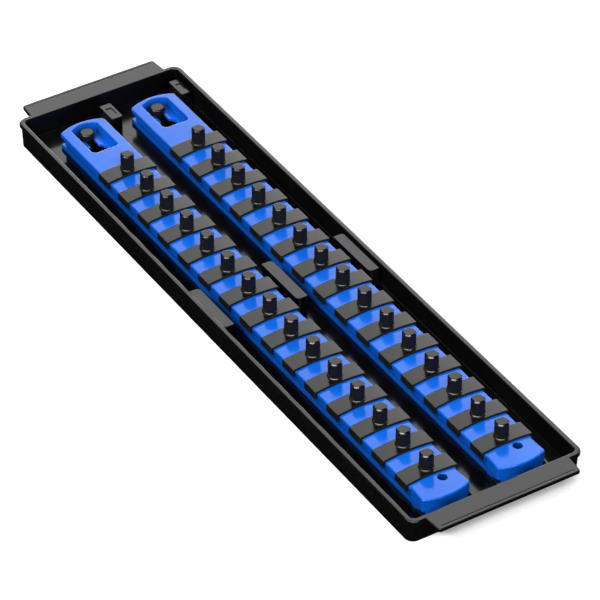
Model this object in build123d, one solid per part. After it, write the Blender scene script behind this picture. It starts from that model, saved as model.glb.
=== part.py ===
from build123d import *
import math
import os

os.makedirs("parts", exist_ok=True)

# Two socket rails lie side by side in a shallow moulded tray. Sizes are in millimetres. The origin is
# the middle of the tray's underside, +X runs across the rails, +Y along them towards their keyholes.

# Rails: layout and outline
SIDES = {"left": -1, "right": 1}
RAIL_PITCH = 56.0
RAIL_LENGTH = 459.6
RAIL_EDGE_HEIGHT = 14.6
RAIL_CROWN = 1.2
PLATE_WIDTH = 34.5
PLATE_EDGE_DEPTH = 2.8
PLATE_THICKNESS = 2.6
PLATE_EDGE_ROUND = 0.6
NECK_WIDTH = 27.0
NECK_WALL = 2.0
FLANGE_WIDTH = 30.4
FLANGE_THICKNESS = 3.4
FLANGE_END_SETBACK = 0.4
HEAD_ARC_RISE = 3.0
HEAD_CORNER_RADIUS = 1.5
END_WALL = 2.2
WEB_THICKNESS = 1.6
WEB_EVERY = 4

# Near end of a rail: solid-faced stop for the clips, with the hanging hole and the hold-down toe
BLOCK_LENGTH = 19.3
BLOCK_START_WIDTH = 33.2
BLOCK_END_WIDTH = 35.2
BLOCK_FOOT_WIDTH = 31.6
BLOCK_FOOT_HEIGHT = 5.6
BLOCK_ARC_RISE = 5.0
BLOCK_ROUND = 1.0
BLOCK_CORNER_RADIUS = 1.5
HOLE_DIAMETER = 6.5
HOLE_OFFSET = 4.5
HOLE_SETBACK = 16.0
HOLE_BOSS_DIAMETER = 10.5
TOE_WIDTH = 12.0
TOE_LENGTH = 3.2
TOE_THICKNESS = 2.4

# Keyhole pocket in a rail's head, and the peg that it locks on
RAIL_TRAVEL = 16.0
PEG_SETBACK = 9.4
POCKET_WIDTH = 20.9
POCKET_MARGIN = 11.8
POCKET_RIM = 2.5
POCKET_CORNER_RADIUS = 4.0
POCKET_FAR_CORNER_RADIUS = 2.0
POCKET_FLOOR_HEIGHT = 8.1
POCKET_FLOOR_THICKNESS = 2.0
POCKET_DRAFT = 10.0
POCKET_WALL = 2.0
PEG_STEM_DIAMETER = 5.6
PEG_STEM_CLEARANCE = 0.45
PEG_HEAD_DIAMETER = 10.2
PEG_HEAD_THICKNESS = 4.9
PEG_HEAD_CHAMFER = 0.8
PEG_HEAD_CLEARANCE = 0.4
KEYHOLE_CLEARANCE = 1.4
PEG_SHANK_DIAMETER = 3.6
PEG_SHANK_DEPTH = 3.6
PEG_SHANK_CLEARANCE = 0.05

# Spring clips with their socket posts
CLIP_COUNT = 15
CLIP_PITCH = 26.2
CLIP_LENGTH = 12.8
CLIP_STOP_GAP = 1.7
CLIP_THICKNESS = 1.6
CLIP_TOP_CLEARANCE = 0.12
CLIP_SIDE_CLEARANCE = 0.25
HOOK_CLEARANCE = 0.2
HOOK_THICKNESS = 0.9
HOOK_REACH = 1.6
HOOK_LEAD = 0.5
CLIP_SHOULDER_CHAMFER = 0.4
POST_ACROSS_FLATS = 8.7
POST_CORNER_RADIUS = 3.6
POST_HEIGHT = 12.1
POST_CHAMFER = 0.8
COLLAR_DIAMETER = 10.2
COLLAR_HEIGHT = 1.0
COLLAR_CHAMFER = 0.45
LATCH_WIDTH = 3.2
LATCH_DEPTH = 0.55
LATCH_BOTTOM = 2.4
LATCH_TOP = 8.6
LATCH_BUMP_RISE = 0.7
LATCH_BUMP_LENGTH = 2.0
LATCH_BUMP_WIDTH = 2.4
LATCH_BUMP_HEIGHT = 7.4

# Tray shell
FLOOR_THICKNESS = 2.4
WALL_THICKNESS = 2.7
TRAY_HEIGHT = 18.2
SIDE_CHANNEL = 15.4
NEAR_END_GAP = 5.9
FAR_END_SPARE = 3.9
SIDE_WALL_LEAN = 0.1
END_WALL_LEAN = 1.4
FOOT_CORNER_RADIUS = 5.9
RIM_WIDTH = 3.85
RIM_DEPTH = 2.5
RIM_ROUND = 1.3
RIM_INNER_ROUND = 0.8
INNER_FOOT_ROUND = 0.4
UNDER_ROUND = 0.6

# Handles
HANDLE_ROOT_WIDTH = 107.0
HANDLE_TIP_WIDTH = 104.6
HANDLE_REACH = 13.0
HANDLE_THICKNESS = 2.8
HANDLE_ROUND = 0.7
HANDLE_UNDER_CHAMFER = 0.5
HANDLE_CORNER_RADIUS = 2.0
GROOVE_WIDTH = 0.9
GROOVE_DEPTH = 0.3
GROOVE_INSET = 2.6
GROOVE_SIDE_MARGIN = 3.0

# Ribs, stops and bosses that rise from the tray floor
RIB_WIDTH = 8.0
RIB_LENGTH = 44.4
RIB_TOP = 15.6
RIB_CENTRE_Y = 1.0
RIB_CORNER_RADIUS = 3.0
RIB_EDGE_ROUND = 0.5
STOP_WIDTH = 8.4
STOP_LENGTH = 18.0
STOP_TOP = 13.2
STOP_WALL_GAP = 4.8
STOP_CORNER_RADIUS = 1.0
STOP_DISH_LENGTH = 8.0
STOP_DISH_WIDTH = 4.4
STOP_DISH_DEPTH = 0.6
TAB_THICKNESS = 1.4
TAB_LENGTH = 15.8
TAB_TOP = 7.2
TAB_CLEARANCE = 0.3
BOSS_DIAMETER = 11.8
BOSS_HEIGHT = 2.6
BOSS_CHAMFER = 0.5
LUG_THICKNESS = 2.2
LUG_OVERLAP = 1.6
TOE_CLEARANCE = 0.3
CHEEK_THICKNESS = 1.8

# Working allowances: how far a cutting shape runs past a face, and how near an edge counts as in place
OVERCUT = 1.0
IN_PLACE = 0.01

# Heights and places that follow from the sizes above
PLATE_EDGE_Z = FLOOR_THICKNESS + RAIL_EDGE_HEIGHT
PLATE_UNDER_Z = PLATE_EDGE_Z - PLATE_EDGE_DEPTH
CROWN_RADIUS = ((PLATE_WIDTH / 2) ** 2 + RAIL_CROWN**2) / (2 * RAIL_CROWN)
CROWN_TOP_Z = PLATE_EDGE_Z + RAIL_CROWN
CROWN_CENTRE_Z = CROWN_TOP_Z - CROWN_RADIUS
CAVITY_TOP_Z = PLATE_EDGE_Z - PLATE_THICKNESS
INNER_HALF_X = RAIL_PITCH / 2 + PLATE_WIDTH / 2 + SIDE_CHANNEL
INNER_HALF_Y = (NEAR_END_GAP + RAIL_LENGTH + RAIL_TRAVEL + FAR_END_SPARE) / 2
RAIL_NEAR_Y = -INNER_HALF_Y + NEAR_END_GAP
RAIL_FAR_Y = RAIL_NEAR_Y + RAIL_LENGTH
BLOCK_START_Y = RAIL_NEAR_Y + BLOCK_LENGTH
PEG_Y = RAIL_FAR_Y - PEG_SETBACK
KEYHOLE_Y = PEG_Y - RAIL_TRAVEL
KEYHOLE_RADIUS = PEG_HEAD_DIAMETER / 2 + KEYHOLE_CLEARANCE
SLOT_WIDTH = PEG_STEM_DIAMETER + 2 * PEG_STEM_CLEARANCE
POCKET_FLOOR_Z = FLOOR_THICKNESS + POCKET_FLOOR_HEIGHT
POCKET_NEAR_Y = KEYHOLE_Y - POCKET_MARGIN
POCKET_FAR_Y = RAIL_FAR_Y - POCKET_RIM
PEG_HEAD_Z = POCKET_FLOOR_Z + PEG_HEAD_CLEARANCE
BOSS_TOP_Z = FLOOR_THICKNESS + BOSS_HEIGHT
CLIP_UNDER_RADIUS = CROWN_RADIUS + CLIP_TOP_CLEARANCE
CLIP_OUTER_RADIUS = CLIP_UNDER_RADIUS + CLIP_THICKNESS
CLIP_INNER_HALF = PLATE_WIDTH / 2 + CLIP_SIDE_CLEARANCE
CLIP_OUTER_HALF = CLIP_INNER_HALF + CLIP_THICKNESS
HOOK_TOP_Z = PLATE_UNDER_Z - HOOK_CLEARANCE
HOOK_BOTTOM_Z = HOOK_TOP_Z - HOOK_THICKNESS
CLIP_TOP_Z = CROWN_CENTRE_Z + CLIP_OUTER_RADIUS
LAST_CLIP_Y = BLOCK_START_Y + CLIP_STOP_GAP + CLIP_LENGTH / 2
RIM_BOTTOM_Z = TRAY_HEIGHT - RIM_DEPTH


def circle_z(radius, x):
    """Height, at x off the centre line, of a crown arc of this radius."""
    return CROWN_CENTRE_Z + math.sqrt(radius**2 - x**2)


def prism(outline, bottom, top):
    """A closed plan outline raised from one height to another."""
    return extrude(Plane.XY.offset(bottom) * make_face(outline), amount=top - bottom)


def box(x_low, x_high, y_low, y_high, z_low, z_high):
    """A box given by its limits."""
    size = (x_high - x_low, y_high - y_low, z_high - z_low)
    centre = ((x_low + x_high) / 2, (y_low + y_high) / 2, (z_low + z_high) / 2)
    return Pos(*centre) * Box(*size)


def post_box(x, y, width, length, bottom, top, radius):
    """An upright block with rounded vertical corners, centred on x and y."""
    plan = Pos(x, y, bottom) * RectangleRounded(width, length, radius)
    return extrude(plan, amount=top - bottom)


def rib(x):
    """A middle rib with two opposite upright corners well rounded and the other two nearly sharp."""
    block = box(
        -RIB_WIDTH / 2, RIB_WIDTH / 2, -RIB_LENGTH / 2, RIB_LENGTH / 2, FLOOR_THICKNESS / 2, RIB_TOP
    )
    corners = block.edges().filter_by(Axis.Z)
    round_ones = [edge for edge in corners if edge.center().X * edge.center().Y > 0]
    block = fillet(round_ones, RIB_CORNER_RADIUS)
    corners = block.edges().filter_by(Axis.Z)
    sharp_ones = [edge for edge in corners if abs(edge.center().X) + abs(edge.center().Y) > reach_of_rib()]
    return Pos(x, RIB_CENTRE_Y, 0) * fillet(sharp_ones, RIB_EDGE_ROUND)


def reach_of_rib():
    """Distance, across plus along, that only the rib's sharp corners lie beyond."""
    return RIB_WIDTH / 2 + RIB_LENGTH / 2 - RIB_CORNER_RADIUS / 2


def along_rail(section, y_low, y_high):
    """A section drawn in X and Z, run along the rail between two places."""
    face = Plane.XZ.offset(-y_high) * make_face(section)
    return extrude(face, amount=y_high - y_low)


def crowned_slab(width, bottom, y_low, y_high):
    """A slab with a flat underside whose top is the rail's crown."""
    half = width / 2
    side_z = circle_z(CROWN_RADIUS, half)
    section = [
        Line((-half, bottom), (half, bottom)),
        Line((half, bottom), (half, side_z)),
        ThreePointArc((half, side_z), (0, CROWN_TOP_Z), (-half, side_z)),
        Line((-half, side_z), (-half, bottom)),
    ]
    return along_rail(section, y_low, y_high)


def head_outline(half, near, corner, apex):
    """Plan of the head: straight sides and a gently bowed far end."""
    return [
        Line((-half, near), (half, near)),
        Line((half, near), (half, corner)),
        ThreePointArc((half, corner), (0, apex), (-half, corner)),
        Line((-half, corner), (-half, near)),
    ]


def block_outline(start_half, end_half):
    """Plan of the near end block: flared sides and a bowed end face."""
    corner = RAIL_NEAR_Y + BLOCK_ARC_RISE
    return [
        Line((-start_half, BLOCK_START_Y), (start_half, BLOCK_START_Y)),
        Line((start_half, BLOCK_START_Y), (end_half, corner)),
        ThreePointArc((end_half, corner), (0, RAIL_NEAR_Y), (-end_half, corner)),
        Line((-end_half, corner), (-start_half, BLOCK_START_Y)),
    ]


def upright_corners(solid, half, y):
    """The two upright edges at this half width and this place along the rail."""
    return [
        edge
        for edge in solid.edges().filter_by(Axis.Z)
        if abs(edge.center().Y - y) < IN_PLACE and abs(abs(edge.center().X) - half) < IN_PLACE
    ]


def rail_plate():
    """The crowned top plate that the clips ride on, from the end block to the bowed head."""
    head_corner = RAIL_FAR_Y - HEAD_ARC_RISE
    half = PLATE_WIDTH / 2
    plan = prism(head_outline(half, BLOCK_START_Y, head_corner, RAIL_FAR_Y), 0, CROWN_TOP_Z + OVERCUT)
    plan = fillet(upright_corners(plan, half, head_corner), HEAD_CORNER_RADIUS)
    plate = crowned_slab(PLATE_WIDTH, PLATE_UNDER_Z, BLOCK_START_Y, RAIL_FAR_Y) & plan
    crown = plate.faces().sort_by(Axis.Z)[-1]
    free_edges = [edge for edge in crown.edges() if edge.center().Y > BLOCK_START_Y + IN_PLACE]
    return fillet(free_edges, PLATE_EDGE_ROUND)


def rail_base():
    """Neck under the plate and the foot flange that rests on the tray floor."""
    head_corner = RAIL_FAR_Y - HEAD_ARC_RISE
    neck_half = NECK_WIDTH / 2
    flange_half = FLANGE_WIDTH / 2
    neck = prism(
        head_outline(neck_half, BLOCK_START_Y, head_corner, RAIL_FAR_Y - FLANGE_END_SETBACK),
        FLOOR_THICKNESS,
        CAVITY_TOP_Z,
    )
    flange = box(
        -flange_half,
        flange_half,
        BLOCK_START_Y,
        RAIL_FAR_Y - FLANGE_END_SETBACK,
        FLOOR_THICKNESS,
        FLOOR_THICKNESS + FLANGE_THICKNESS,
    )
    return neck + flange


def rail_block():
    """The near end block that stops the last clip: flared sides over a narrower foot, one bowed end."""
    end_half = BLOCK_END_WIDTH / 2
    foot_half = BLOCK_FOOT_WIDTH / 2
    plan = prism(block_outline(BLOCK_START_WIDTH / 2, end_half), FLOOR_THICKNESS, CROWN_TOP_Z + OVERCUT)
    plan = fillet(upright_corners(plan, end_half, RAIL_NEAR_Y + BLOCK_ARC_RISE), BLOCK_CORNER_RADIUS)
    block = crowned_slab(BLOCK_END_WIDTH + OVERCUT, FLOOR_THICKNESS, RAIL_NEAR_Y, BLOCK_START_Y) & plan
    crown = block.faces().sort_by(Axis.Z)[-1]
    free_edges = [edge for edge in crown.edges() if edge.center().Y < BLOCK_START_Y - IN_PLACE]
    block = fillet(free_edges, BLOCK_ROUND)
    for hand in (-1, 1):
        x_low, x_high = sorted((hand * foot_half, hand * BLOCK_END_WIDTH))
        block -= box(x_low, x_high, RAIL_NEAR_Y, BLOCK_START_Y, 0, FLOOR_THICKNESS + BLOCK_FOOT_HEIGHT)
    return block


def rail_cavities():
    """Hollows under the plate, left between cross webs, open to the tray floor."""
    half = NECK_WIDTH / 2 - NECK_WALL
    start = BLOCK_START_Y
    stop = POCKET_NEAR_Y - POCKET_WALL
    bay = CLIP_PITCH * WEB_EVERY
    count = max(1, round((stop - start) / bay))
    step = (stop - start) / count
    hollows = []
    for index in range(count):
        low = start + index * step + WEB_THICKNESS / 2
        high = start + (index + 1) * step - WEB_THICKNESS / 2
        hollows.append(box(-half, half, low, high, FLOOR_THICKNESS - OVERCUT, CAVITY_TOP_Z))
    return hollows


def head_cavity():
    """Hollow under the pocket floor, where the peg and its boss pass along."""
    half = NECK_WIDTH / 2 - NECK_WALL
    low = POCKET_NEAR_Y - POCKET_WALL + WEB_THICKNESS / 2
    corner = RAIL_FAR_Y - HEAD_ARC_RISE - END_WALL
    top = POCKET_FLOOR_Z - POCKET_FLOOR_THICKNESS
    return prism(head_outline(half, low, corner, RAIL_FAR_Y - END_WALL), FLOOR_THICKNESS - OVERCUT, top)


def block_cavity():
    """Hollow under the end block, round the boss of the hanging hole."""
    half = BLOCK_FOOT_WIDTH / 2 - NECK_WALL
    low = RAIL_NEAR_Y + BLOCK_ARC_RISE + END_WALL
    high = BLOCK_START_Y - WEB_THICKNESS / 2
    hollow = box(-half, half, low, high, FLOOR_THICKNESS - OVERCUT, CAVITY_TOP_Z)
    boss = Pos(HOLE_OFFSET, RAIL_NEAR_Y + HOLE_SETBACK, 0) * Cylinder(
        HOLE_BOSS_DIAMETER / 2, CROWN_TOP_Z * 2
    )
    return hollow - boss


def pocket():
    """The sunk pocket in the head, with drafted walls."""
    half = POCKET_WIDTH / 2
    corner = POCKET_FAR_Y - HEAD_ARC_RISE
    top = CROWN_TOP_Z + OVERCUT
    outline = make_face(head_outline(half, POCKET_NEAR_Y, corner, POCKET_FAR_Y))
    near_corners = outline.vertices().sort_by(Axis.Y)[:2]
    outline = fillet(near_corners, POCKET_CORNER_RADIUS)
    far_corners = outline.vertices().sort_by(Axis.Y)[-2:]
    outline = fillet(far_corners, POCKET_FAR_CORNER_RADIUS)
    return extrude(Pos(0, 0, top) * outline, amount=POCKET_FLOOR_Z - top, taper=POCKET_DRAFT)


def keyhole():
    """Round entry and narrow neck through the pocket floor."""
    low = POCKET_FLOOR_Z - POCKET_FLOOR_THICKNESS - OVERCUT
    high = POCKET_FLOOR_Z + OVERCUT
    middle = (low + high) / 2
    entry = Pos(0, KEYHOLE_Y, middle) * Cylinder(KEYHOLE_RADIUS, high - low)
    neck = box(-SLOT_WIDTH / 2, SLOT_WIDTH / 2, KEYHOLE_Y, PEG_Y, low, high)
    neck_end = Pos(0, PEG_Y, middle) * Cylinder(SLOT_WIDTH / 2, high - low)
    return entry + neck + neck_end


def rail():
    """One rail moulding on the centre line: plate, neck, foot flange, end block, pocket and keyhole."""
    body = rail_plate() + rail_base() + rail_block()
    toe = box(
        -TOE_WIDTH / 2,
        TOE_WIDTH / 2,
        RAIL_NEAR_Y - TOE_LENGTH,
        RAIL_NEAR_Y + END_WALL,
        FLOOR_THICKNESS,
        FLOOR_THICKNESS + TOE_THICKNESS,
    )
    body += toe
    for hollow in rail_cavities():
        body -= hollow
    body -= head_cavity()
    body -= block_cavity()
    body -= pocket()
    body -= keyhole()
    hole = Pos(HOLE_OFFSET, RAIL_NEAR_Y + HOLE_SETBACK, 0) * Cylinder(HOLE_DIAMETER / 2, CROWN_TOP_Z * 3)
    return body - hole


def peg():
    """Mushroom-headed peg on the centre line, pushed into its boss on the tray floor."""
    shank_radius = PEG_SHANK_DIAMETER / 2
    stem_radius = PEG_STEM_DIAMETER / 2
    head_radius = PEG_HEAD_DIAMETER / 2
    head_top = PEG_HEAD_Z + PEG_HEAD_THICKNESS
    profile = Polyline(
        (0, BOSS_TOP_Z - PEG_SHANK_DEPTH),
        (shank_radius, BOSS_TOP_Z - PEG_SHANK_DEPTH),
        (shank_radius, BOSS_TOP_Z),
        (stem_radius, BOSS_TOP_Z),
        (stem_radius, PEG_HEAD_Z),
        (head_radius, PEG_HEAD_Z),
        (head_radius, head_top - PEG_HEAD_CHAMFER),
        (head_radius - PEG_HEAD_CHAMFER, head_top),
        (0, head_top),
        close=True,
    )
    return revolve(Plane.XZ * make_face(profile), axis=Axis.Z)


def clip_band():
    """The sprung band: a crowned bridge over the plate, two legs and two hooks under its edges."""
    inner = CLIP_INNER_HALF
    outer = CLIP_OUTER_HALF
    tip = inner - HOOK_REACH
    outer_z = circle_z(CLIP_OUTER_RADIUS, outer)
    inner_z = circle_z(CLIP_UNDER_RADIUS, inner)
    section = [
        ThreePointArc((-outer, outer_z), (0, CLIP_TOP_Z), (outer, outer_z)),
        Polyline(
            (outer, outer_z),
            (outer, HOOK_BOTTOM_Z + HOOK_LEAD),
            (outer - HOOK_LEAD, HOOK_BOTTOM_Z),
            (tip + HOOK_LEAD, HOOK_BOTTOM_Z),
            (tip, HOOK_BOTTOM_Z + HOOK_LEAD),
            (tip, HOOK_TOP_Z),
            (inner, HOOK_TOP_Z),
            (inner, inner_z),
        ),
        ThreePointArc((inner, inner_z), (0, CROWN_CENTRE_Z + CLIP_UNDER_RADIUS), (-inner, inner_z)),
        Polyline(
            (-inner, inner_z),
            (-inner, HOOK_TOP_Z),
            (-tip, HOOK_TOP_Z),
            (-tip, HOOK_BOTTOM_Z + HOOK_LEAD),
            (-tip - HOOK_LEAD, HOOK_BOTTOM_Z),
            (-outer + HOOK_LEAD, HOOK_BOTTOM_Z),
            (-outer, HOOK_BOTTOM_Z + HOOK_LEAD),
            (-outer, outer_z),
        ),
    ]
    band = along_rail(section, -CLIP_LENGTH / 2, CLIP_LENGTH / 2)
    shoulders = band.edges().filter_by(Axis.Y)
    shoulders = [edge for edge in shoulders if abs(edge.center().Z - outer_z) < IN_PLACE]
    return chamfer(shoulders, CLIP_SHOULDER_CHAMFER)


def clip_post():
    """The square-drive post with its collar and, on one flat, the latch with its bump."""
    half_flat = POST_ACROSS_FLATS / 2
    base_z = CLIP_TOP_Z - CLIP_THICKNESS / 2
    top_z = CLIP_TOP_Z + POST_HEIGHT
    post = extrude(
        Pos(0, 0, base_z) * RectangleRounded(POST_ACROSS_FLATS, POST_ACROSS_FLATS, POST_CORNER_RADIUS),
        amount=top_z - base_z,
    )
    post = chamfer(post.faces().sort_by(Axis.Z)[-1].edges(), POST_CHAMFER)
    collar = Pos(0, 0, base_z) * Cylinder(
        COLLAR_DIAMETER / 2,
        CLIP_TOP_Z + COLLAR_HEIGHT - base_z,
        align=(Align.CENTER, Align.CENTER, Align.MIN),
    )
    collar = chamfer(collar.faces().sort_by(Axis.Z)[-1].edges(), COLLAR_CHAMFER)
    recess = box(
        -half_flat - OVERCUT,
        -half_flat + LATCH_DEPTH,
        -LATCH_WIDTH / 2,
        LATCH_WIDTH / 2,
        CLIP_TOP_Z + LATCH_BOTTOM,
        CLIP_TOP_Z + LATCH_TOP,
    )
    return post + collar - recess + latch_bump()


def latch_bump():
    """The wedge on the latch that clicks into a socket's groove."""
    face_x = -POST_ACROSS_FLATS / 2 + LATCH_DEPTH
    middle_z = CLIP_TOP_Z + LATCH_BUMP_HEIGHT
    wedge = Polyline(
        (face_x + LATCH_DEPTH, middle_z - LATCH_BUMP_LENGTH / 2),
        (face_x, middle_z - LATCH_BUMP_LENGTH / 2),
        (face_x - LATCH_BUMP_RISE, middle_z),
        (face_x, middle_z + LATCH_BUMP_LENGTH / 2),
        (face_x + LATCH_DEPTH, middle_z + LATCH_BUMP_LENGTH / 2),
        close=True,
    )
    return along_rail(wedge, -LATCH_BUMP_WIDTH / 2, LATCH_BUMP_WIDTH / 2)


def clip():
    """One clip on the centre line, band and post in one moulding."""
    return clip_band() + clip_post()


def tray_walls():
    """Floor and leaning walls, with the outer corners rounded and the inside scooped out."""
    foot_x = INNER_HALF_X + WALL_THICKNESS
    foot_y = INNER_HALF_Y + WALL_THICKNESS
    rise = RIM_BOTTOM_Z / TRAY_HEIGHT
    outside = loft(
        [
            RectangleRounded(2 * foot_x, 2 * foot_y, FOOT_CORNER_RADIUS),
            Pos(0, 0, RIM_BOTTOM_Z)
            * RectangleRounded(
                2 * (foot_x + SIDE_WALL_LEAN * rise),
                2 * (foot_y + END_WALL_LEAN * rise),
                FOOT_CORNER_RADIUS,
            ),
        ],
        ruled=True,
    )
    return fillet(outside.faces().sort_by(Axis.Z)[0].edges(), UNDER_ROUND)


def tray_rim():
    """The thick rounded bead round the top of the walls."""
    half_x = INNER_HALF_X + SIDE_WALL_LEAN + RIM_WIDTH
    half_y = INNER_HALF_Y + END_WALL_LEAN + RIM_WIDTH
    radius = FOOT_CORNER_RADIUS + RIM_WIDTH - WALL_THICKNESS
    plan = Pos(0, 0, RIM_BOTTOM_Z) * RectangleRounded(2 * half_x, 2 * half_y, radius)
    rim = extrude(plan, amount=RIM_DEPTH)
    return fillet(rim.faces().sort_by(Axis.Z)[-1].edges(), RIM_ROUND)


def tray_inside():
    """The space scooped out of the tray, down to its floor."""
    radius = FOOT_CORNER_RADIUS - WALL_THICKNESS
    inside = loft(
        [
            Pos(0, 0, FLOOR_THICKNESS) * RectangleRounded(2 * INNER_HALF_X, 2 * INNER_HALF_Y, radius),
            Pos(0, 0, TRAY_HEIGHT)
            * RectangleRounded(
                2 * (INNER_HALF_X + SIDE_WALL_LEAN), 2 * (INNER_HALF_Y + END_WALL_LEAN), radius
            ),
        ],
        ruled=True,
    )
    inside = fillet(inside.faces().sort_by(Axis.Z)[0].edges(), INNER_FOOT_ROUND)
    top_plan = Pos(0, 0, TRAY_HEIGHT) * RectangleRounded(
        2 * (INNER_HALF_X + SIDE_WALL_LEAN), 2 * (INNER_HALF_Y + END_WALL_LEAN), radius
    )
    return inside + extrude(top_plan, amount=OVERCUT)


def handle():
    """The far handle: a flat tab level with the rim, grooved near its edge."""
    root = INNER_HALF_Y + END_WALL_LEAN + RIM_WIDTH / 2
    tip = INNER_HALF_Y + END_WALL_LEAN + RIM_WIDTH + HANDLE_REACH
    root_half = HANDLE_ROOT_WIDTH / 2
    tip_half = HANDLE_TIP_WIDTH / 2
    outline = Polyline((-root_half, root), (root_half, root), (tip_half, tip), (-tip_half, tip), close=True)
    plan = make_face(outline)
    plan = fillet(plan.vertices().sort_by(Axis.Y)[-2:], HANDLE_CORNER_RADIUS)
    tab = extrude(Pos(0, 0, TRAY_HEIGHT - HANDLE_THICKNESS) * plan, amount=HANDLE_THICKNESS)
    under_face = tab.faces().sort_by(Axis.Z)[0]
    under_edges = [edge for edge in under_face.edges() if edge.center().Y > root + IN_PLACE]
    tab = chamfer(under_edges, HANDLE_UNDER_CHAMFER)
    top_face = tab.faces().sort_by(Axis.Z)[-1]
    top_edges = [edge for edge in top_face.edges() if edge.center().Y > root + IN_PLACE]
    tab = fillet(top_edges, HANDLE_ROUND)
    groove_y = tip - GROOVE_INSET
    groove_half = tip_half - GROOVE_SIDE_MARGIN
    groove = box(
        -groove_half,
        groove_half,
        groove_y - GROOVE_WIDTH / 2,
        groove_y + GROOVE_WIDTH / 2,
        TRAY_HEIGHT - GROOVE_DEPTH,
        TRAY_HEIGHT + OVERCUT,
    )
    return tab - groove


def far_stop(x):
    """A short block near the far wall, with a shallow dish in its top."""
    y = INNER_HALF_Y - STOP_WALL_GAP - STOP_LENGTH / 2
    stop = post_box(x, y, STOP_WIDTH, STOP_LENGTH, FLOOR_THICKNESS / 2, STOP_TOP, STOP_CORNER_RADIUS)
    dish = box(
        x - STOP_DISH_WIDTH / 2,
        x + STOP_DISH_WIDTH / 2,
        y - STOP_DISH_LENGTH / 2,
        y + STOP_DISH_LENGTH / 2,
        STOP_TOP - STOP_DISH_DEPTH,
        STOP_TOP + OVERCUT,
    )
    return stop - dish


def floor_features():
    """Three middle ribs, two far stops, end guide tabs, peg bosses and hold-down lugs on the floor."""
    features = [rib(-RAIL_PITCH), rib(0), rib(RAIL_PITCH), far_stop(0), far_stop(RAIL_PITCH)]
    for side in SIDES.values():
        features += rail_seat(side * RAIL_PITCH / 2)
    return features


def rail_seat(x):
    """What holds one rail: guide tabs beside its end, the lug over its toe, and the peg boss."""
    wall_y = -INNER_HALF_Y - WALL_THICKNESS / 2
    tab_inner = BLOCK_END_WIDTH / 2 + TAB_CLEARANCE
    seat = []
    for hand in (-1, 1):
        x_low, x_high = sorted((x + hand * tab_inner, x + hand * (tab_inner + TAB_THICKNESS)))
        seat.append(box(x_low, x_high, wall_y, -INNER_HALF_Y + TAB_LENGTH, FLOOR_THICKNESS / 2, TAB_TOP))
    lug_end = RAIL_NEAR_Y - TOE_LENGTH + LUG_OVERLAP
    roof_z = FLOOR_THICKNESS + TOE_THICKNESS + TOE_CLEARANCE
    cheek_inner = TOE_WIDTH / 2 + TOE_CLEARANCE
    cheek_outer = cheek_inner + CHEEK_THICKNESS
    seat.append(box(x - cheek_outer, x + cheek_outer, wall_y, lug_end, roof_z, roof_z + LUG_THICKNESS))
    for hand in (-1, 1):
        x_low, x_high = sorted((x + hand * cheek_inner, x + hand * cheek_outer))
        seat.append(box(x_low, x_high, wall_y, lug_end, FLOOR_THICKNESS / 2, roof_z + LUG_THICKNESS))
    boss = Pos(x, PEG_Y, FLOOR_THICKNESS / 2) * Cylinder(
        BOSS_DIAMETER / 2,
        BOSS_TOP_Z - FLOOR_THICKNESS / 2,
        align=(Align.CENTER, Align.CENTER, Align.MIN),
    )
    boss = chamfer(boss.faces().sort_by(Axis.Z)[-1].edges(), BOSS_CHAMFER)
    seat.append(boss)
    return seat


def tray():
    """The whole tray moulding."""
    body = tray_walls() + tray_rim() - tray_inside()
    top = body.faces().sort_by(Axis.Z)[-1]
    body = fillet(top.inner_wires()[0].edges(), RIM_INNER_ROUND)
    body += handle()
    body += Rot(0, 0, 180) * handle()
    for feature in floor_features():
        body += feature
    hole_bottom = BOSS_TOP_Z - PEG_SHANK_DEPTH - PEG_SHANK_CLEARANCE
    hole = Pos(0, PEG_Y, hole_bottom) * Cylinder(
        PEG_SHANK_DIAMETER / 2 + PEG_SHANK_CLEARANCE,
        BOSS_HEIGHT + PEG_SHANK_DEPTH,
        align=(Align.CENTER, Align.CENTER, Align.MIN),
    )
    for side in SIDES.values():
        body -= Pos(side * RAIL_PITCH / 2, 0, 0) * hole
    return body


def write(shape, name):
    """One STEP file for one node."""
    solids = shape.solids()
    print(f"{name}: {len(solids)} solid, volume {sum(solid.volume for solid in solids):.1f}")
    export_step(Compound(children=list(solids)) if len(solids) > 1 else solids[0], f"parts/{name}.step")


def main():
    """Build each piece once, then place its copies."""
    write(tray(), "tray")
    rail_shape = rail()
    peg_shape = peg()
    clip_shape = clip()
    for name, side in SIDES.items():
        x = side * RAIL_PITCH / 2
        write(Pos(x, 0, 0) * rail_shape, f"rail_{name}")
        write(Pos(x, PEG_Y, 0) * peg_shape, f"rail_peg_{name}")
        for index in range(CLIP_COUNT):
            y = LAST_CLIP_Y + (CLIP_COUNT - 1 - index) * CLIP_PITCH
            write(Pos(x, y, 0) * clip_shape, f"clip_{name}_{index + 1:02d}")


main()
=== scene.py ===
import bpy
import math
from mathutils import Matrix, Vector


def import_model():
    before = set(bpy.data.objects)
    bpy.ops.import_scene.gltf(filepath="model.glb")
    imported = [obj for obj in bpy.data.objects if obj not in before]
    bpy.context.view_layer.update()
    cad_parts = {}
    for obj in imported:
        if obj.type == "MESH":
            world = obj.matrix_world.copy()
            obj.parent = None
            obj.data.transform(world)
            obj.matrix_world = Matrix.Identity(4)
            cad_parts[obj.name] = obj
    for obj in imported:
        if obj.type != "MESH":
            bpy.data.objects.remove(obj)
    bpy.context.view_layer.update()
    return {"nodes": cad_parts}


# Two blue socket rails with their black spring clips in a black moulded tray, on a pale studio floor.
# Lengths are in metres, in the part's own frame, except where a comment or a name says millimetres.

MM = 0.001

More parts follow.
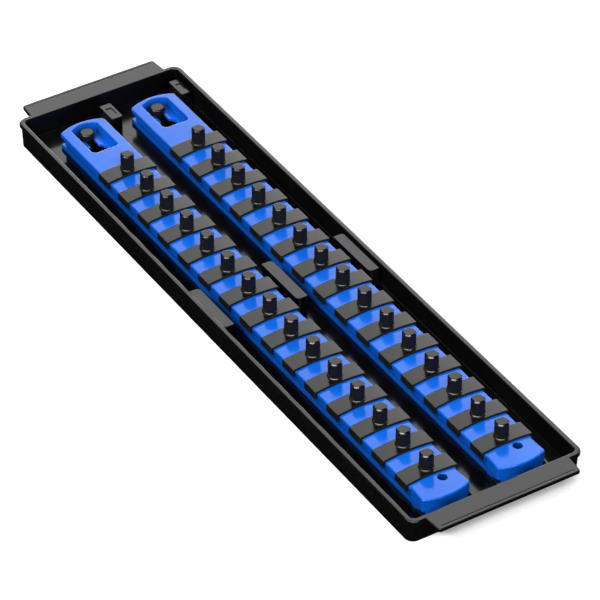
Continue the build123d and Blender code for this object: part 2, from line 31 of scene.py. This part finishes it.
# Camera: where it stands and what it looks at
CAMERA_AZIMUTH = math.radians(-32.05)
CAMERA_ELEVATION = math.radians(38.25)
CAMERA_DISTANCE = 2.612
CAMERA_TARGET = Vector((0.00753, -0.00608, 0.00023))
CAMERA_LENS_MM = 238.5
CAMERA_SENSOR_MM = 36.0

# Floor and surroundings
FLOOR_RADIUS = 4.0
FLOOR_SIDES = 96
FLOOR_COLOUR = (0.85, 0.85, 0.85, 1.0)
FLOOR_GLOW = 0.38
WORLD_COLOUR = (1.0, 1.0, 1.0, 1.0)
WORLD_STRENGTH = 0.008

# Lights: heading clockwise from +Y in degrees, elevation in degrees, distance, width and height in
# metres, watts. The back panel stands where level tops mirror it into the camera.
LIGHTS = {
    "back_panel": (32.0, 38.5, 2.4, 2.2, 2.2, 33.0),
    "back_low_panel": (32.0, 8.0, 2.4, 2.0, 0.6, 22.0),
    "front_strip": (-160.0, 49.0, 2.4, 1.8, 0.3, 32.0),
    "left_strip": (-118.0, 46.0, 2.4, 1.7, 0.3, 35.0),
    "far_left_strip": (-76.0, 44.0, 2.4, 1.7, 0.4, 18.0),
    "right_low_panel": (95.0, 12.0, 2.4, 2.0, 0.6, 14.0),
    "top_panel": (180.0, 76.0, 2.4, 1.6, 0.8, 8.0),
}

# Plastics. Colours are linear: the moulding's, and that of its worn edges, which also carries a painted
# highlight. Waves and grain are each a width and a depth in millimetres. Ease is the radius that edges
# are softened over, and the shade reach is how far away a neighbour still darkens a face with painted
# shade.
TRAY_PLASTIC = {
    "name": "tray_plastic",
    "colour": (0.0025, 0.0025, 0.0025),
    "worn_and_highlight_colour": (0.03, 0.03, 0.03),
    "roughness": 0.15,
    "side_roughness": 0.26,
    "specular": 0.5,
    "waves_mm": (20.0, 0.1),
    "grain_mm": (0.6, 0.02),
    "ease_mm": 0.3,
    "painted_shade_reach_mm": 16.0,
}
CLIP_PLASTIC = {
    "name": "clip_plastic",
    "colour": (0.0022, 0.0018, 0.001),
    "worn_and_highlight_colour": (0.09, 0.087, 0.08),
    "roughness": 0.2,
    "side_roughness": 0.62,
    "specular": 0.44,
    "waves_mm": (12.0, 0.05),
    "grain_mm": (0.4, 0.012),
    "ease_mm": 0.6,
    "painted_shade_reach_mm": 16.0,
}
RAIL_PLASTIC = {
    "name": "rail_plastic",
    "colour": (0.002, 0.116, 0.635),
    "worn_and_highlight_colour": (0.01, 0.16, 0.80),
    "roughness": 0.16,
    "side_roughness": 0.3,
    "specular": 0.42,
    "waves_mm": (9.0, 0.25),
    "grain_mm": (0.5, 0.015),
    "ease_mm": 0.9,
    "painted_shade_reach_mm": 10.0,
}

# Noises: width in millimetres where it is fixed, then detail and roughness
PATCH_NOISE = (30.0, 4.0, 0.5)
SPECK_NOISE = (1.1, 3.0, 0.7)
WAVE_NOISE = (1.0, 0.5)
GRAIN_NOISE = (3.0, 0.6)

# How the noises become colour, worn edges with a painted highlight, sheen and bump
DARK_PATCH_SHARE = 0.86
PATCH_COLOUR_SPAN = (0.35, 0.65)
PATCH_SHEEN_SPAN = (0.3, 0.7, -0.04, 0.04)
SPECK_SPAN = (0.45, 0.62)
WAVE_STRENGTH = 1.0
GRAIN_STRENGTH = 0.6

# Edges are worn, and lightened as a painted highlight, where the eased normal leaves the plain one; tops
# are smoother than sides; and corners and gaps are darkened towards a share of the colour as painted
# shade
WEAR_AND_HIGHLIGHT_WIDTH_MM = 0.5
WEAR_AND_HIGHLIGHT_SPAN = (1.0, 0.8)
EDGE_SAMPLES = 4
TOP_SPAN = (0.25, 0.5)
PAINTED_SHADE_SPAN = (0.22, 0.68)
PAINTED_SHADE_SAMPLES = 8
PAINTED_SHADE_SHARE = 0.15

# Places of the colour sockets on a mix node
MIX_FIRST = 6
MIX_SECOND = 7
MIX_RESULT = 2


def direction(heading, elevation):
    """Unit vector towards a heading, clockwise from +Y, and an elevation above the floor."""
    level = math.cos(elevation)
    return Vector((math.sin(heading) * level, math.cos(heading) * level, math.sin(elevation)))


def make_camera():
    """The camera at the photograph's viewing angle."""
    data = bpy.data.cameras.new("camera")
    data.lens = CAMERA_LENS_MM
    data.sensor_width = CAMERA_SENSOR_MM
    camera = bpy.data.objects.new("camera", data)
    back = direction(math.pi - CAMERA_AZIMUTH, CAMERA_ELEVATION)
    camera.location = CAMERA_TARGET + back * CAMERA_DISTANCE
    camera.rotation_euler = (-back).to_track_quat("-Z", "Y").to_euler()
    bpy.context.scene.collection.objects.link(camera)
    bpy.context.scene.camera = camera


def make_light(name, heading, elevation, distance, width, height, power):
    """A soft light panel that faces the object."""
    data = bpy.data.lights.new(name, "AREA")
    data.shape = "RECTANGLE"
    data.size = width
    data.size_y = height
    data.energy = power
    light = bpy.data.objects.new(name, data)
    way = direction(math.radians(heading), math.radians(elevation))
    light.location = way * distance
    light.rotation_euler = way.to_track_quat("Z", "Y").to_euler()
    bpy.context.scene.collection.objects.link(light)


def make_floor():
    """A pale floor level with the tray's underside. Glossy faces don't mirror it, so walls stay black."""
    bpy.ops.mesh.primitive_circle_add(vertices=FLOOR_SIDES, radius=FLOOR_RADIUS, fill_type="NGON")
    floor = bpy.context.object
    floor.name = "floor"
    material = bpy.data.materials.new("floor")
    material.use_nodes = True
    shader = material.node_tree.nodes["Principled BSDF"]
    shader.inputs["Base Color"].default_value = FLOOR_COLOUR
    shader.inputs["Roughness"].default_value = 1.0
    shader.inputs["Specular IOR Level"].default_value = 0.0
    shader.inputs["Emission Color"].default_value = FLOOR_COLOUR
    shader.inputs["Emission Strength"].default_value = FLOOR_GLOW
    floor.data.materials.append(material)
    floor.visible_glossy = False


def make_world():
    """Even, low light from all round."""
    world = bpy.data.worlds.new("studio")
    world.use_nodes = True
    background = world.node_tree.nodes["Background"]
    background.inputs["Color"].default_value = WORLD_COLOUR
    background.inputs["Strength"].default_value = WORLD_STRENGTH
    bpy.context.scene.world = world


class Nodes:
    """Short ways to build a material's node tree."""

    def __init__(self, name):
        self.material = bpy.data.materials.new(name)
        self.material.use_nodes = True
        self.tree = self.material.node_tree
        self.shader = self.tree.nodes["Principled BSDF"]
        self.place = self.add("ShaderNodeTexCoord").outputs["Object"]

    def add(self, kind, **settings):
        """A node with its properties set."""
        node = self.tree.nodes.new(kind)
        for key, value in settings.items():
            setattr(node, key, value)
        return node

    def link(self, source, target):
        """A link from an output to an input."""
        self.tree.links.new(source, target)

    def noise(self, width_mm, detail, roughness):
        """Noise whose blobs are about this many millimetres across."""
        node = self.add("ShaderNodeTexNoise")
        self.link(self.place, node.inputs["Vector"])
        node.inputs["Scale"].default_value = 1.0 / (width_mm * MM)
        node.inputs["Detail"].default_value = detail
        node.inputs["Roughness"].default_value = roughness
        return node.outputs["Fac"]

    def spread(self, source, low, high, to_low=0.0, to_high=1.0):
        """Source stretched from one span of values to another."""
        node = self.add("ShaderNodeMapRange")
        self.link(source, node.inputs["Value"])
        node.inputs["From Min"].default_value = low
        node.inputs["From Max"].default_value = high
        node.inputs["To Min"].default_value = to_low
        node.inputs["To Max"].default_value = to_high
        return node.outputs["Result"]

    def combine(self, operation, first, second):
        """The sum, product or the like of two values."""
        node = self.add("ShaderNodeMath", operation=operation)
        self.link(first, node.inputs[0])
        self.link(second, node.inputs[1])
        return node.outputs[0]

    def mix(self, factor, first, second):
        """A colour between two, by a factor."""
        node = self.add("ShaderNodeMix", data_type="RGBA")
        self.link(factor, node.inputs["Factor"])
        for value, socket in ((first, node.inputs[MIX_FIRST]), (second, node.inputs[MIX_SECOND])):
            if isinstance(value, bpy.types.NodeSocket):
                self.link(value, socket)
            else:
                socket.default_value = (*value, 1.0)
        return node.outputs[MIX_RESULT]

    def bump(self, height, strength, depth_mm, normal):
        """A bump of this depth on top of another normal."""
        node = self.add("ShaderNodeBump")
        node.inputs["Strength"].default_value = strength
        node.inputs["Distance"].default_value = depth_mm * MM
        self.link(height, node.inputs["Height"])
        self.link(normal, node.inputs["Normal"])
        return node.outputs["Normal"]

    def soft_edges(self, radius_mm):
        """The surface's normal with its edges eased over this radius."""
        node = self.add("ShaderNodeBevel", samples=EDGE_SAMPLES)
        node.inputs["Radius"].default_value = radius_mm * MM
        return node.outputs["Normal"]

    def upward(self):
        """How far the surface faces up: 1 on level tops, 0 on upright sides."""
        normal = self.add("ShaderNodeNewGeometry").outputs["Normal"]
        parts = self.add("ShaderNodeSeparateXYZ")
        self.link(normal, parts.inputs["Vector"])
        return parts.outputs["Z"]

    def painted_shade_openness(self, painted_shade_reach_mm):
        """1 on open faces and less in corners and gaps, from what stands within this reach; it drives
        painted shade.
        """
        node = self.add("ShaderNodeAmbientOcclusion", samples=PAINTED_SHADE_SAMPLES)
        node.inputs["Distance"].default_value = painted_shade_reach_mm * MM
        return node.outputs["AO"]

    def edge_mask(self, radius_mm):
        """1 along sharp edges and 0 on open faces."""
        rounded = self.soft_edges(radius_mm)
        plain = self.add("ShaderNodeNewGeometry").outputs["Normal"]
        dot = self.add("ShaderNodeVectorMath", operation="DOT_PRODUCT")
        self.link(rounded, dot.inputs[0])
        self.link(plain, dot.inputs[1])
        return self.spread(dot.outputs["Value"], *WEAR_AND_HIGHLIGHT_SPAN)


def scaled(colour, share):
    """A colour at a share of its strength."""
    return tuple(share * value for value in colour)


def moulded_plastic(name, colour, worn_and_highlight_colour, roughness, side_roughness, specular,
                    waves_mm, grain_mm, ease_mm, painted_shade_reach_mm):
    """Injection-moulded plastic: slight waves, fine grain, patchy sheen, lighter worn edges that also
    carry a painted highlight, and painted shade in corners and gaps.
    """
    nodes = Nodes(name)
    inputs = nodes.shader.inputs
    patches = nodes.noise(*PATCH_NOISE)
    specks = nodes.spread(nodes.noise(*SPECK_NOISE), *SPECK_SPAN)

    # Sharp edges are lightened, partly as real wear and partly as a painted highlight
    wear_and_highlight = nodes.combine("MULTIPLY", nodes.edge_mask(WEAR_AND_HIGHLIGHT_WIDTH_MM), specks)
    base = nodes.mix(nodes.spread(patches, *PATCH_COLOUR_SPAN), scaled(colour, DARK_PATCH_SHARE), colour)
    surface = nodes.mix(wear_and_highlight, base, worn_and_highlight_colour)
    # Painted shade: corners, gaps and faces near neighbours are darkened towards a share of the colour
    clear = nodes.spread(nodes.painted_shade_openness(painted_shade_reach_mm), *PAINTED_SHADE_SPAN)
    nodes.link(nodes.mix(clear, scaled(colour, PAINTED_SHADE_SHARE), surface), inputs["Base Color"])

    sheen = nodes.spread(nodes.upward(), *TOP_SPAN, side_roughness, roughness)
    sheen = nodes.combine("ADD", sheen, nodes.spread(patches, *PATCH_SHEEN_SPAN))
    nodes.link(sheen, inputs["Roughness"])
    inputs["Specular IOR Level"].default_value = specular

    wave_width, wave_depth = waves_mm
    grain_width, grain_depth = grain_mm
    normal = nodes.soft_edges(ease_mm)
    normal = nodes.bump(nodes.noise(wave_width, *WAVE_NOISE), WAVE_STRENGTH, wave_depth, normal)
    normal = nodes.bump(nodes.noise(grain_width, *GRAIN_NOISE), GRAIN_STRENGTH, grain_depth, normal)
    nodes.link(normal, inputs["Normal"])
    return nodes.material


def dress(frame):
    """Gives every CAD node its material. The pegs are of the clips' plastic."""
    tray = moulded_plastic(**TRAY_PLASTIC)
    clip = moulded_plastic(**CLIP_PLASTIC)
    rail = moulded_plastic(**RAIL_PLASTIC)
    for name, node in frame["nodes"].items():
        material = tray
        if name.startswith(("clip", "rail_peg")):
            material = clip
        elif name.startswith("rail"):
            material = rail
        node.data.materials.clear()
        node.data.materials.append(material)


def main():
    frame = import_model()
    bpy.context.scene.view_settings.view_transform = "Standard"
    dress(frame)
    make_floor()
    make_world()
    for name, values in LIGHTS.items():
        make_light(name, *values)
    make_camera()


main()
